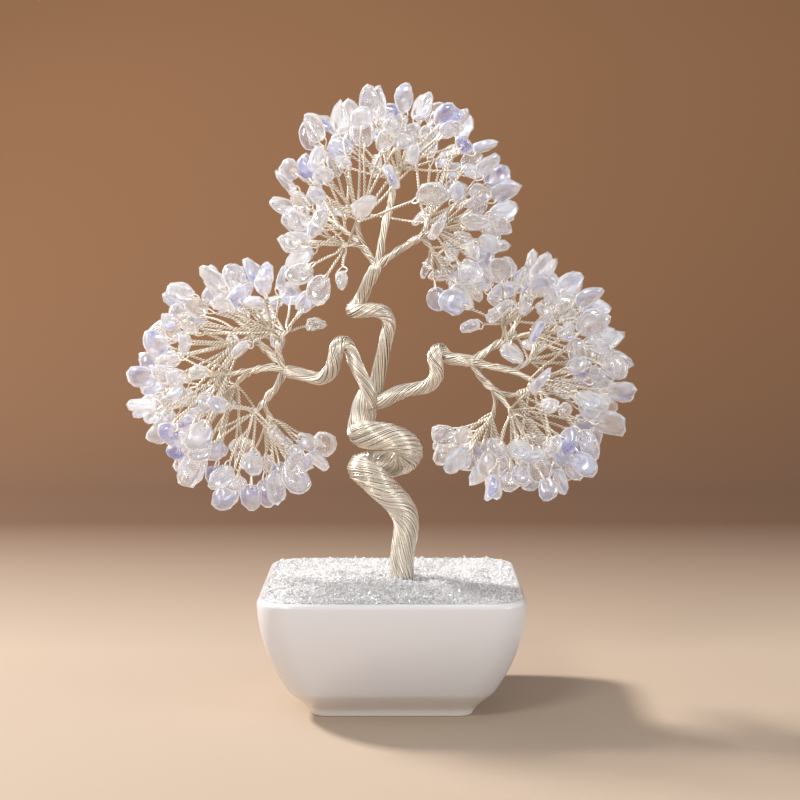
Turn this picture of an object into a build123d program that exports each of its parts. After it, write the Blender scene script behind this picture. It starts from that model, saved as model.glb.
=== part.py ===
from build123d import *
import math
import os
import random

import numpy as np

# Gemstone tree: wires twisted into a trunk, three limbs and fans of twigs, with a drilled chip folded
# into the end of each twig. The trunk stands in a plaster core in a glazed bowl, under glued gravel.
# Millimetres. The origin is the middle of the bowl's underside, +Z is up and the front faces -Y.

# Bowl
bowl_side = 101.5
bowl_height = 47.0
bowl_corner_radius = 14.0
bowl_base_side = 70.6
base_corner_radius = 9.5
foot_side = 62.0
foot_height = 3.6
foot_corner_radius = 6.0
foot_flare = 5.0
foot_ring_width = 6.0
foot_recess_depth = 1.6
wall_thickness = 3.6
floor_thickness = 5.0
lip_bevel = 1.1
bowl_bands = 3

# Filling
gravel_depth = 8.0
gravel_drop = 0.6
gravel_mound = 2.0
gravel_lump = 2.2
gravel_cell = 9.2
gravel_shift_share = 0.3
gravel_seed = 5
trunk_foot_depth = 17.0

# Tree, measured up from the rim of the bowl
tree_rise = 193.0
trunk_width = 10.4
limb_width = 5.6
branch_width = 3.3
stem_width = 2.3
stem_tip_width = 1.3
trunk_lay_length = 70.0
limb_lay_length = 34.0
fork_swell_share = 1.15

# How finely the bundles are drawn: sides round them, steps along them, and how deep the wires' lobes are
trunk_sides, trunk_steps, trunk_lobe_share = 10, 29, 0.86
limb_sides, limb_steps, limb_lobe_share = 8, 14, 0.88
branch_sides, branch_steps, stem_steps = 4, 3, 2

# Crowns, over the chips
crown_depth = 64.0
left_crown_width = 86.0
left_crown_height = 97.0
right_crown_width = 84.0
right_crown_height = 96.0
top_crown_width = 95.0
top_crown_height = 92.0

# Twigs and chips
wire_diameter = 0.5
twig_clearance = 0.2
limb_room = 3.0
shortest_twig = 9.0
twig_step = 0.7
chip_length = 11.0
chip_width = 8.8
chip_thickness = 4.0
chip_margin = 1.25
drill_radius = 0.85
eye_room = 0.8
eye_length = 5.4
twigs_per_spray = 7

# Routes of the wire bundles. Each point is a share of the tree's rise across and up from the rim's
# centre, with its depth and its width as shares of the bundle's own width.
trunk_route_shares = [
    (0.020, 0.00, 0.020, 0.90),
    (0.023, 0.00, 0.065, 0.88),
    (0.029, 0.00, 0.115, 0.95),
    (0.016, -0.15, 0.155, 1.00),
    (-0.014, -0.45, 0.188, 1.04),
    (-0.043, -0.54, 0.216, 1.02),
    (-0.064, -0.05, 0.232, 1.00),
    (-0.045, 0.54, 0.241, 1.00),
    (-0.010, 0.64, 0.244, 1.00),
    (0.020, 0.48, 0.249, 1.00),
    (0.034, 0.00, 0.264, 0.98),
    (0.018, -0.50, 0.286, 1.00),
    (-0.014, -0.66, 0.297, 1.02),
    (-0.045, -0.56, 0.299, 1.02),
    (-0.064, -0.08, 0.308, 1.00),
    (-0.060, 0.06, 0.335, 0.98),
    (-0.055, 0.02, 0.362, 0.92),
    (-0.047, 0.00, 0.388, 0.72),
]
top_limb_route_shares = [
    (-0.043, 0.30, 0.360, 0.90),
    (-0.036, 0.40, 0.385, 0.96),
    (-0.028, 0.40, 0.420, 0.92),
    (-0.019, 0.20, 0.462, 0.92),
    (-0.009, 0.00, 0.505, 0.92),
    (-0.006, -0.10, 0.530, 0.94),
    (-0.017, -0.35, 0.548, 0.96),
    (-0.042, -0.58, 0.554, 0.96),
    (-0.066, -0.56, 0.552, 0.96),
    (-0.081, 0.00, 0.555, 0.92),
    (-0.070, 0.52, 0.567, 0.88),
    (-0.056, 0.35, 0.594, 0.84),
    (-0.033, 0.00, 0.638, 0.84),
]
left_limb_route_shares = [
    (-0.040, -0.30, 0.355, 0.90),
    (-0.047, -0.45, 0.385, 0.96),
    (-0.060, -0.30, 0.415, 0.92),
    (-0.077, 0.10, 0.449, 0.92),
    (-0.087, 0.50, 0.474, 0.95),
    (-0.100, 0.30, 0.488, 1.00),
    (-0.112, -0.20, 0.478, 1.00),
    (-0.116, -0.30, 0.455, 1.00),
    (-0.124, -0.20, 0.430, 1.00),
    (-0.144, 0.00, 0.415, 0.96),
    (-0.168, 0.00, 0.418, 0.88),
    (-0.191, 0.00, 0.425, 0.84),
    (-0.214, 0.00, 0.430, 0.84),
]
right_limb_route_shares = [
    (-0.042, 0.00, 0.362, 0.90),
    (-0.026, -0.10, 0.366, 0.96),
    (0.006, -0.10, 0.383, 0.98),
    (0.038, 0.00, 0.392, 0.92),
    (0.066, -0.10, 0.396, 0.92),
    (0.085, -0.30, 0.410, 0.96),
    (0.090, -0.40, 0.437, 1.00),
    (0.086, -0.25, 0.462, 1.00),
    (0.096, 0.35, 0.472, 0.94),
    (0.112, 0.40, 0.458, 0.90),
    (0.133, 0.15, 0.453, 0.86),
    (0.155, 0.00, 0.451, 0.86),
]

# Branches of each crown: first the branch's own points after the limb's end, then the tips of the
# stems that it divides into. Across, depth and up are shares of the tree's rise.
left_branches_shares = [
    (
        [(-0.228, -0.005, 0.459), (-0.230, -0.006, 0.488)],
        [(-0.250, -0.034, 0.520), (-0.206, 0.024, 0.514)],
    ),
    (
        [(-0.244, 0.012, 0.459), (-0.272, 0.018, 0.486)],
        [(-0.296, 0.046, 0.508), (-0.326, 0.000, 0.480)],
    ),
    (
        [(-0.244, -0.010, 0.437), (-0.277, -0.014, 0.433)],
        [(-0.344, -0.040, 0.424), (-0.330, 0.028, 0.388)],
    ),
    (
        [(-0.234, 0.005, 0.400), (-0.257, 0.006, 0.369)],
        [(-0.284, -0.034, 0.344), (-0.242, 0.026, 0.320)],
    ),
]
right_branches_shares = [
    (
        [(0.191, 0.010, 0.469), (0.224, 0.015, 0.488)],
        [(0.220, -0.030, 0.540), (0.265, 0.046, 0.542), (0.297, -0.018, 0.512)],
    ),
    (
        [(0.195, -0.010, 0.441), (0.236, -0.015, 0.432)],
        [(0.290, 0.034, 0.458), (0.298, -0.040, 0.408)],
    ),
    (
        [(0.179, 0.010, 0.420), (0.208, 0.012, 0.390)],
        [(0.275, 0.036, 0.378), (0.250, -0.030, 0.340), (0.200, 0.022, 0.318)],
    ),
]
top_branches_shares = [
    (
        [(-0.043, 0.005, 0.659), (-0.057, 0.008, 0.679)],
        [(-0.104, -0.030, 0.682), (-0.112, 0.034, 0.726), (-0.071, -0.024, 0.749)],
    ),
    (
        [(-0.022, 0.000, 0.687), (-0.008, 0.005, 0.745), (0.000, 0.010, 0.790)],
        [(-0.014, 0.042, 0.832), (0.022, -0.026, 0.850)],
    ),
    (
        [(0.004, -0.005, 0.667), (0.055, -0.010, 0.700)],
        [(0.073, 0.034, 0.742), (0.106, -0.034, 0.716), (0.086, 0.016, 0.662)],
    ),
]
left_crown_centre_shares = (-0.296, 0.0, 0.408)
right_crown_centre_shares = (0.256, 0.0, 0.416)
top_crown_centre_shares = (0.002, 0.0, 0.754)

# Twigs of a spray in turn: how far they lean and how far out towards the crown's skin they reach
lean_angles = [14, 26, 36, 44, 52, 60]
reach_shares = [1.0, 0.80, 0.96, 0.64, 1.0, 0.88, 0.72]
fan_depth_share = 0.6
outer_chip_share = 0.8
chip_room_share = 0.54
golden_angle = 137.5
facing_spread = 52
facing_waves = 2
search_turn = 24
search_turns = 15
search_leans = 2

# Outlines of three tumbled chips, seen along the drilled hole. The first number is the share of the
# chip's width, the second the share of its length, counted from its edge below the hole.
leaf_shares = [(-0.30, 0.0), (0.32, 0.04), (0.50, 0.62), (-0.34, 1.0)]
wedge_shares = [(-0.44, 0.04), (0.38, 0.0), (0.34, 0.84), (-0.14, 1.0)]
block_shares = [(-0.36, 0.08), (0.30, 0.0), (0.46, 0.78), (-0.42, 0.96)]
# Outlines across a chip's thickness: the share of the thickness and the share of the outline
flat_back_shares = [(-0.5, 1.0), (0.5, 0.62)]
lens_shares = [(-0.5, 0.64), (0.0, 1.0), (0.5, 0.64)]
# Chips of a spray in turn: outline, section and the share of the full size
chip_kinds = [
    (leaf_shares, flat_back_shares, 1.0),
    (wedge_shares, flat_back_shares, 0.84),
    (block_shares, lens_shares, 1.1),
    (leaf_shares, flat_back_shares, 0.76),
    (block_shares, flat_back_shares, 0.94),
    (wedge_shares, flat_back_shares, 1.2),
]

os.makedirs("parts", exist_ok=True)

rim = Vector(0, 0, bowl_height)


def finish(builder, label):
    """Name a finished piece and write it."""
    builder.part.label = label
    export_step(builder.part, f"parts/{label}.step")


# Bowl: slip-cast walls that swell in a parabola from the base to the rim, over a small square foot


def wall_half_width(level):
    """Half the outer width of the bowl's body, level 0 at its base and 1 at its rim."""
    return (bowl_side - (bowl_side - bowl_base_side) * (1 - level) ** 2) / 2


def wall_corner(half_width):
    """Corner radius where the body has this half width."""
    swell = (2 * half_width - bowl_base_side) / (bowl_side - bowl_base_side)
    return base_corner_radius + swell * (bowl_corner_radius - base_corner_radius)


def level_of(height):
    return (height - foot_height) / (bowl_height - foot_height)


def cavity_section(height, spread=0.0):
    """Inner outline of the bowl at a height, pushed out by spread."""
    half_width = wall_half_width(level_of(height))
    inner = half_width - wall_thickness + spread
    with BuildSketch(Plane.XY.offset(height)) as section:
        RectangleRounded(2 * inner, 2 * inner, wall_corner(half_width) - wall_thickness + spread)
    return section.sketch


cavity_floor = foot_height + floor_thickness
plaster_top = bowl_height - gravel_depth

with BuildPart() as bowl:
    with BuildSketch():
        RectangleRounded(foot_side, foot_side, foot_corner_radius)
    with BuildSketch(Plane.XY.offset(foot_height)):
        foot_top = foot_side + foot_flare
        RectangleRounded(foot_top, foot_top, foot_corner_radius + foot_flare / 2)
    loft(ruled=True)
    for band in range(bowl_bands + 1):
        height = foot_height + band / bowl_bands * (bowl_height - lip_bevel - foot_height)
        half_width = wall_half_width(level_of(height))
        with BuildSketch(Plane.XY.offset(height)):
            RectangleRounded(2 * half_width, 2 * half_width, wall_corner(half_width))
    with BuildSketch(Plane.XY.offset(bowl_height)):
        half_width -= lip_bevel
        RectangleRounded(2 * half_width, 2 * half_width, wall_corner(half_width))
    loft(ruled=True)
    loft(
        [
            cavity_section(cavity_floor),
            cavity_section(plaster_top),
            cavity_section(bowl_height - lip_bevel),
            cavity_section(bowl_height, lip_bevel),
        ],
        ruled=True,
        mode=Mode.SUBTRACT,
    )
    with BuildSketch() as recess:
        recess_side = foot_side - 2 * foot_ring_width
        RectangleRounded(recess_side, recess_side, foot_corner_radius)
    extrude(amount=foot_recess_depth, mode=Mode.SUBTRACT)
finish(bowl, "bowl")

# Trunk and limbs: bundles of wire, drawn as lobed rings that turn along a smooth route


def solid_of(rings):
    """Closed solid of flat triangles between rings of points, with a flat cap at each end."""
    sides = len(rings[0])
    faces = [Face(Wire.make_polygon(rings[0])), Face(Wire.make_polygon(rings[-1]))]
    for low, high in zip(rings, rings[1:]):
        for side in range(sides):
            after = (side + 1) % sides
            faces.append(Face(Wire.make_polygon([low[side], low[after], high[after]])))
            faces.append(Face(Wire.make_polygon([low[side], high[after], high[side]])))
    return Solid(Shell(faces))


def bundle(points, widths, sides, steps, lay_length=math.inf, lobe_share=1.0):
    """Bundle of wires along a spline: rings square to it, turned left once in each lay length."""
    route = Edge.make_spline(points)
    chords = np.cumsum([0] + [(b - a).length for a, b in zip(points, points[1:])])
    across = Vector(0, 1, 0)
    rings = []
    for step in range(steps + 1):
        along = step / steps
        centre, heading = route.position_at(along), route.tangent_at(along)
        across = (across - heading * across.dot(heading)).normalized()
        beside = heading.cross(across)
        width = float(np.interp(along, chords / chords[-1], widths))
        ring = []
        for side in range(sides):
            angle = 2 * math.pi * (side / sides - along * route.length / lay_length)
            radius = width / 2 * (1 if side % 2 else lobe_share)
            ring.append(centre + (across * math.cos(angle) + beside * math.sin(angle)) * radius)
        rings.append(ring)
    return solid_of(rings)


def limb_route(route_shares, width):
    """Points and widths of a trunk or limb from its table of shares."""
    points = [
        rim + Vector(across * tree_rise, depth * width, up * tree_rise)
        for across, depth, up, _ in route_shares
    ]
    return points, [width * share for *_, share in route_shares]


# Round stretches that twigs and chips stay clear of, and those of the trunk and limbs as seen from the
# front, which no chip hangs before or behind
taken, bare = [], []


def keep_clear(stretches, points, widths):
    for start, end, width in zip(points, points[1:], widths):
        stretches.append((*start, *end, width / 2))


def seen_from_front(points):
    return [Vector(point.X, 0, point.Z) for point in points]


trunk_points, trunk_widths = limb_route(trunk_route_shares, trunk_width)
keep_clear(taken, trunk_points, trunk_widths)
keep_clear(bare, seen_from_front(trunk_points), trunk_widths)
trunk_foot = Vector(trunk_points[0].X, 0, plaster_top - trunk_foot_depth)
with BuildPart() as trunk:
    add(
        bundle(
            [trunk_foot] + trunk_points,
            trunk_widths[:1] + trunk_widths,
            trunk_sides,
            trunk_steps,
            trunk_lay_length,
            trunk_lobe_share,
        )
    )
finish(trunk, "trunk")

# Filling: cast plaster under a glued bed of crushed crystal

with BuildPart() as plaster_core:
    loft([cavity_section(cavity_floor), cavity_section(plaster_top)], ruled=True)
    add(trunk.part, mode=Mode.SUBTRACT)
finish(plaster_core, "plaster_core")


def gravel_surface():
    """Slab with a rough mounded top: grid points pushed about at random, joined by flat facets."""
    dice = random.Random(gravel_seed)
    cells = math.ceil(bowl_side / gravel_cell)
    pitch = bowl_side / cells
    rows = []
    for row in range(cells + 1):
        line = []
        for column in range(cells + 1):
            shifts = [pitch * gravel_shift_share * dice.uniform(-1, 1) for _ in range(2)]
            inside = 0 < row < cells and 0 < column < cells
            x = -bowl_side / 2 + column * pitch + (shifts[0] if inside else 0)
            y = -bowl_side / 2 + row * pitch + (shifts[1] if inside else 0)
            mound = gravel_mound * max(0, 1 - (x * x + y * y) / (bowl_side / 2) ** 2)
            lump = gravel_lump / 2 * dice.uniform(-1, 1)
            line.append(Vector(x, y, bowl_height - gravel_drop + mound + lump))
        rows.append(line)
    faces = []
    for low, high in zip(rows, rows[1:]):
        for column in range(cells):
            a, b, c, d = low[column], low[column + 1], high[column + 1], high[column]
            faces.append(Face(Wire.make_polygon([a, b, c])))
            faces.append(Face(Wire.make_polygon([a, c, d])))
    edges = [rows[0], [line[-1] for line in rows], rows[-1][::-1], [line[0] for line in rows][::-1]]
    floor = [Vector(edge[0].X, edge[0].Y, cavity_floor) for edge in edges]
    for number, edge in enumerate(edges):
        faces.append(Face(Wire.make_polygon(edge + [floor[(number + 1) % 4], floor[number]])))
    faces.append(Face(Wire.make_polygon(floor)))
    return Solid(Shell(faces))


with BuildPart() as gravel_bed:
    gravel_edge = cavity_section(bowl_height - lip_bevel)
    loft([cavity_section(plaster_top), gravel_edge], ruled=True)
    extrude(gravel_edge, amount=lip_bevel + gravel_mound + gravel_lump)
    add(gravel_surface(), mode=Mode.INTERSECT)
    add(trunk.part, mode=Mode.SUBTRACT)
finish(gravel_bed, "gravel_bed")

# Limbs with their branches and stems, each cut where it comes out of the bundle before it


def rise_point(shares):
    return rim + Vector(*shares) * tree_rise


def limb_solids(route_shares, branches_shares):
    """Solids of one limb, and for each stem its tip and the way it points."""
    points, widths = limb_route(route_shares, limb_width)
    keep_clear(taken, points, widths)
    keep_clear(bare, seen_from_front(points), widths)
    solids = [bundle(points, widths, limb_sides, limb_steps, limb_lay_length, limb_lobe_share)]
    tips = []
    for branch_shares, stem_shares in branches_shares:
        inner = points[-1] + (points[-2] - points[-1]).normalized() * branch_width / 2
        branch = [inner] + [rise_point(shares) for shares in branch_shares]
        branch_widths = np.linspace(branch_width, stem_width * fork_swell_share, len(branch))
        keep_clear(taken, branch, branch_widths)
        solids.append(bundle(branch, branch_widths, branch_sides, branch_steps))
        for shares in stem_shares:
            tip = rise_point(shares)
            elbow = (branch[-1] + tip + (branch[-1] - branch[-2]).normalized() * stem_width) / 2
            stem = [branch[-1], elbow, tip]
            keep_clear(taken, stem, [stem_width, stem_tip_width])
            stem_widths = [stem_width, stem_tip_width, stem_tip_width]
            solids.append(bundle(stem, stem_widths, branch_sides, stem_steps))
            tips.append((tip, (tip - elbow).normalized()))
    return solids, tips


with BuildPart() as top_limb:
    solids, top_tips = limb_solids(top_limb_route_shares, top_branches_shares)
    add(solids)
    add(trunk.part, mode=Mode.SUBTRACT)
finish(top_limb, "top_limb")

with BuildPart() as left_limb:
    solids, left_tips = limb_solids(left_limb_route_shares, left_branches_shares)
    add(solids)
    add([trunk.part, top_limb.part], mode=Mode.SUBTRACT)
finish(left_limb, "left_limb")

with BuildPart() as right_limb:
    solids, right_tips = limb_solids(right_limb_route_shares, right_branches_shares)
    add(solids)
    add([trunk.part, top_limb.part, left_limb.part], mode=Mode.SUBTRACT)
finish(right_limb, "right_limb")

# Chips: drilled across their thin side, tapered to both faces like tumbled stone


def chip(outline_shares, section_shares, size_share):
    """One chip, its hole along X through the origin and its length along Y."""
    low = chip_margin / section_shares[0][1]
    outline = [
        Vector(0, up * chip_length * size_share - low, side * chip_width * size_share)
        for side, up in outline_shares
    ]
    rings = [
        [Vector(chip_thickness * across, 0, 0) + point * share for point in outline]
        for across, share in section_shares
    ]
    with BuildPart() as stone:
        add(solid_of(rings))
        with BuildSketch(Plane.YZ):
            RegularPolygon(drill_radius, 3)
        extrude(amount=chip_thickness, both=True, mode=Mode.SUBTRACT)
    return stone.part


stones = [chip(*kind) for kind in chip_kinds]


def gap_to(stretches, start, end, radius):
    """Least gap between a round stretch and all of the others: distances between segments."""
    others = np.array(stretches)
    p, q = np.array(tuple(start)), np.array(tuple(end))
    a, b = others[:, 0:3], others[:, 3:6]
    d1, d2, r = q - p, b - a, p - a
    len1, len2 = d1 @ d1, np.sum(d2 * d2, 1)
    f, c, mix = np.sum(d2 * r, 1), r @ d1, d2 @ d1
    flat = np.maximum(len1 * len2 - mix**2, 1e-9)
    s = np.clip((mix * f - c * len2) / flat, 0, 1)
    t = np.clip((mix * s + f) / len2, 0, 1)
    s = np.clip((mix * t - c) / len1, 0, 1)
    apart = (p + s[:, None] * d1) - (a + t[:, None] * d2)
    return float(np.min(np.linalg.norm(apart, axis=1) - others[:, 6] - radius))


def reach_to_skin(start, way, crown):
    """Distance from a point along a direction to the crown's skin: an oval wall between flat sides."""
    centre, half_sizes = crown
    p = np.array(tuple(start - centre)) / half_sizes
    q = np.array(tuple(way)) / half_sizes
    to_side = (1 - p[1] * np.sign(q[1])) / max(abs(q[1]), 1e-9)
    p[1] = q[1] = 0
    a, b, c = q @ q, p @ q, p @ p - 1
    return min((-b + math.sqrt(b * b - a * c)) / a, to_side) if c < 0 else 0.0


def twig_places(tip, heading, crown):
    """Places for one spray's twigs: for each its hole's plane, its length and its kind of chip."""
    across = heading.cross(Vector(0, 1, 0)).normalized()
    beside = heading.cross(across)
    start_offset = stem_tip_width / 2 + wire_diameter + twig_clearance
    places = []
    for number in range(twigs_per_spray):
        kind = number % len(stones)
        size_share = chip_kinds[kind][-1]
        chip_radius = chip_width * chip_room_share * size_share
        for attempt in range(search_turns * len(reach_shares)):
            tier = (number + attempt // search_turns) % len(reach_shares)
            step = number + search_leans * (attempt // search_turns)
            lean = math.radians(lean_angles[step % len(lean_angles)])
            turn = math.radians(golden_angle * number + search_turn * attempt)
            outward = across * math.cos(turn) + beside * math.sin(turn)
            way = heading * math.cos(lean) + outward * math.sin(lean)
            way = Vector(way.X, way.Y * fan_depth_share, way.Z).normalized()
            base = tip - heading * (twig_step * number) + outward * start_offset
            length = max(reach_to_skin(base, way, crown) * reach_shares[tier], shortest_twig)
            hole = base + way * length
            twig_line = (base + way * wire_diameter, hole, wire_diameter)
            chip_line = (
                hole + way * (chip_radius - chip_margin),
                hole + way * (chip_length * size_share - chip_radius - chip_margin),
                chip_radius,
            )
            gap = min(gap_to(taken, *chip_line), gap_to(taken, *twig_line))
            gap_in_view = gap_to(bare, *seen_from_front(chip_line[:2]), chip_radius)
            if gap > twig_clearance and gap_in_view > limb_room:
                break
        else:
            continue
        for start, end, radius in (twig_line, chip_line):
            taken.append((*start, *end, radius))
        facing = (beside - way * beside.dot(way)).normalized()
        aside = math.radians(facing_spread) * math.cos(facing_waves * turn)
        hole_way = facing * math.cos(aside) + way.cross(facing) * math.sin(aside)
        places.append((Plane(hole, x_dir=hole_way, z_dir=hole_way.cross(way)), length, kind))
    return places


def crown(centre_shares, width, height):
    """Centre and half sizes of the skin that the outermost holes lie on."""
    margin = (chip_length - chip_margin) * outer_chip_share
    halves = np.array([width / 2, crown_depth / 2, height / 2]) - margin
    return rise_point(centre_shares), halves


crowns = [
    ("left", left_tips, crown(left_crown_centre_shares, left_crown_width, left_crown_height)),
    ("top", top_tips, crown(top_crown_centre_shares, top_crown_width, top_crown_height)),
    ("right", right_tips, crown(right_crown_centre_shares, right_crown_width, right_crown_height)),
]
eye = chip_thickness / 2 + eye_room
chip_count = 0
for side, tips, skin in crowns:
    for number, (tip, heading) in enumerate(tips):
        places = twig_places(tip, heading, skin)
        chip_count += len(places)
        with BuildPart() as wires:
            for plane, length, kind in places:
                with BuildSketch(plane):
                    with BuildLine():
                        Polyline(
                            (0, -length),
                            (wire_diameter, -eye_length),
                            (eye + wire_diameter, wire_diameter / 2),
                            (-eye - wire_diameter, wire_diameter / 2),
                            (-wire_diameter, -eye_length),
                            close=True,
                        )
                    make_face()
                    with BuildLine():
                        Polyline(
                            (0, -eye_length),
                            (eye, -wire_diameter / 2),
                            (-eye, -wire_diameter / 2),
                            close=True,
                        )
                    make_face(mode=Mode.SUBTRACT)
                extrude(amount=wire_diameter / 2, both=True)
        finish(wires, f"{side}_spray_{number + 1}_wires")
        with BuildPart() as chips:
            add([stones[kind].moved(plane.location) for plane, _, kind in places])
        finish(chips, f"{side}_spray_{number + 1}_chips")
print("chips on the tree:", chip_count)
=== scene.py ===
import math

import bmesh
import bpy
import numpy as np
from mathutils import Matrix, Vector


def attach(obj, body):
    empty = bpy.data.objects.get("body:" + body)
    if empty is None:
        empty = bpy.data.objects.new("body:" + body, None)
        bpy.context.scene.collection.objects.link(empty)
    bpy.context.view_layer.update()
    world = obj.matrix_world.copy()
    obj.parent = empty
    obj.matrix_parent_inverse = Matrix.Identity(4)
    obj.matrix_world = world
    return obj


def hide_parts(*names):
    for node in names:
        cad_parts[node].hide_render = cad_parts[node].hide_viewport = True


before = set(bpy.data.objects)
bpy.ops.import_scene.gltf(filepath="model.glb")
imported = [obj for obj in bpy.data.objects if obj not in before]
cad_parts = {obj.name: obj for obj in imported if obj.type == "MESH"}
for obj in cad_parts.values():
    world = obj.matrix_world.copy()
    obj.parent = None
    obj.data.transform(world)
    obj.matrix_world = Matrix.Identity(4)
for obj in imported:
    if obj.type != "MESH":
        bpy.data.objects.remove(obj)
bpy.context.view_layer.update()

# Bowl: slip-cast white stoneware, a rounded square whose walls swell in a parabola from a foot. A
# satin glaze covers it; round the foot and the cove over it the glaze is painted lighter and
# warmer, a painted reflection of the floor. The foot ring stands on bare clay.
mm = 0.001
bowl_side, bowl_height, bowl_corner = 101.5 * mm, 47 * mm, 14 * mm
base_side, base_corner = 70.6 * mm, 9.5 * mm
foot_side, foot_height, foot_corner, foot_flare = 62 * mm, 3.6 * mm, 6 * mm, 5 * mm
foot_ring, foot_recess, foot_round = 6 * mm, 1.6 * mm, 0.7 * mm
wall, floor_thickness = 3.6 * mm, 5 * mm
# Levels of the wall, 0 at the foot and 1 at the rim, where the cove and the cavity's floor meet it
cove_level, cavity_level = 0.16, 0.16
# Shares of the foot's flare and height where the cove starts, and how strongly it leaves there
cove_flare_share, cove_height_share, cove_pull = 0.25, 0.72, 1.2
# Reach of the painted floor reflection; bare clay up to the next height, glaze from the last
floor_glow_height, bare_height, glazed_height = 3.4 * foot_height, 0.3 * mm, 0.9 * mm
# The second glaze colour, lighter and warmer, is the painted reflection of the floor
glaze_white, floor_glow_glaze = (0.71, 0.705, 0.725, 1), (0.80, 0.745, 0.70, 1)
bare_clay = (0.64, 0.59, 0.52, 1)


class Socket:
    """An output of a node. Arithmetic on it adds Math nodes, and node() adds any other node."""

    def __init__(self, tree, output):
        self.tree, self.output = tree, output

    def node(self, kind, settings={}, sockets={}, output=0):
        made = self.tree.nodes.new(kind)
        for name, value in settings.items():
            setattr(made, name, value)
        for name, value in sockets.items():
            if isinstance(value, Socket):
                self.tree.links.new(value.output, made.inputs[name])
            else:
                made.inputs[name].default_value = value
        return Socket(self.tree, made.outputs[output]) if len(made.outputs) else None

    def maths(self, operation, first, second):
        return self.node("ShaderNodeMath", {"operation": operation}, {0: first, 1: second})

    def __add__(self, other):
        return self.maths("ADD", self, other)

    def __radd__(self, other):
        return self.maths("ADD", other, self)

    def __sub__(self, other):
        return self.maths("SUBTRACT", self, other)

    def __rsub__(self, other):
        return self.maths("SUBTRACT", other, self)

    def __mul__(self, other):
        return self.maths("MULTIPLY", self, other)

    def __rmul__(self, other):
        return self.maths("MULTIPLY", other, self)

    def ramp(self, low, high):
        """0 at low, 1 at high, and a straight line between."""
        sockets = {"Value": self, "From Min": low, "From Max": high}
        return self.node("ShaderNodeMapRange", {"clamp": True}, sockets)

    def noise(self, scale, detail=2.0):
        """Soft random pattern on this vector, from 0 to 1."""
        sockets = {"Vector": self, "Scale": scale, "Detail": detail}
        return self.node("ShaderNodeTexNoise", {}, sockets)

    def blend(self, first, second):
        """The first colour where this is 0 and the second where it is 1."""
        return self.node("ShaderNodeMix", {"data_type": "RGBA"}, {0: self, 6: first, 7: second}, 2)

    def bump(self, strength, distance):
        """Surface normal tilted by this height."""
        sockets = {"Height": self, "Strength": strength, "Distance": distance}
        return self.node("ShaderNodeBump", {}, sockets)

    def axis(self, name):
        return self.node("ShaderNodeSeparateXYZ", {}, {0: self}, name)

    def finish(self, **sockets):
        """Principled finish with these sockets."""
        named = {name.replace("_", " "): value for name, value in sockets.items()}
        return self.node("ShaderNodeBsdfPrincipled", {}, named)

    def surface(self, **sockets):
        """Ends the material with a Principled finish."""
        self.node("ShaderNodeOutputMaterial", {}, {"Surface": self.finish(**sockets)})


def start_material(name):
    """New material and its Object coordinates, in metres."""
    material = bpy.data.materials.new(name)
    material.use_nodes = True
    material.node_tree.nodes.clear()
    start = Socket(material.node_tree, None)
    return material, start.node("ShaderNodeTexCoord", output="Object")


def grid_quads(rows, columns, close_rows=False):
    """Corner numbers of the quads between the points of a grid whose columns close on themselves:
    point number row times columns plus column, its neighbour, and the same two in the next row."""
    bands = rows if close_rows else rows - 1
    row, column = np.meshgrid(np.arange(bands), np.arange(columns), indexing="ij")
    this, after = row * columns, (row + 1) % rows * columns
    beside = (column + 1) % columns
    corners = [this + column, this + beside, after + beside, after + column]
    return np.stack(corners, -1).reshape(-1, 4)


def new_object(name, data):
    """Object of this data in the scene."""
    thing = bpy.data.objects.new(name, data)
    bpy.context.scene.collection.objects.link(thing)
    return thing


def new_mesh(name, vertices, faces, material, smooth=True):
    mesh = bpy.data.meshes.new(name)
    mesh.from_pydata(vertices, [], faces)
    mesh.polygons.foreach_set("use_smooth", np.full(len(mesh.polygons), smooth))
    mesh.materials.append(material)
    mesh.update()
    return mesh


def add_piece(name, vertices, faces, tints, material, slot, nodes=(), smooth=True):
    """Mesh object in place, riding on the root and standing for the named CAD nodes."""
    mesh = new_mesh(name, vertices, faces, material, smooth)
    if tints is not None:
        tint = mesh.attributes.new("tint", "FLOAT", "POINT")
        tint.data.foreach_set("value", tints.astype(np.float32))
    thing = new_object(name, mesh)
    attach(thing, "root")
    if nodes:
        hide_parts(*nodes)
    return thing


def dress(node, material):
    """The CAD solid of a node, in this material."""
    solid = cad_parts[node]
    solid.data.materials.clear()
    solid.data.materials.append(material)
    return solid


def merge_doubles(thing):
    """Closes seams and poles, and turns every face outwards."""
    work = bmesh.new()
    work.from_mesh(thing.data)
    bmesh.ops.remove_doubles(work, verts=work.verts, dist=0.001 * mm)
    bmesh.ops.recalc_face_normals(work, faces=work.faces)
    work.to_mesh(thing.data)
    work.free()


def rounded_square(half, corner, corner_steps=12, side_steps=9):
    """Points of rounded squares, one row for each half width and corner radius. Each point is the
    centre of its corner's arc plus the arc's radius in its direction; along a flat side, that
    centre slides to the next corner's."""
    turn = np.repeat(np.arange(4), corner_steps + side_steps)
    step = np.tile(np.arange(corner_steps + side_steps), 4)
    on_side = step >= corner_steps
    angle = np.radians(90 * (turn + np.where(on_side, 1, step / corner_steps)))
    slide = np.where(on_side, (step - corner_steps) / side_steps, 0)
    centre_x, centre_y = np.array([1, -1, -1, 1]), np.array([1, 1, -1, -1])
    following = (turn + 1) % 4
    x = centre_x[turn] * (1 - slide) + centre_x[following] * slide
    y = centre_y[turn] * (1 - slide) + centre_y[following] * slide
    inner, corner = (half - corner)[:, None], corner[:, None]
    return inner * x + corner * np.cos(angle), inner * y + corner * np.sin(angle)


def wall_stations(level):
    """Half width, corner radius and height of the outer wall: a parabola of the level, 0 to 1."""
    half = (bowl_side - (bowl_side - base_side) * (1 - level) ** 2) / 2
    widened = (2 * half - base_side) / (bowl_side - base_side)
    corner = base_corner + widened * (bowl_corner - base_corner)
    return half, corner, foot_height + level * (bowl_height - foot_height)


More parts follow.
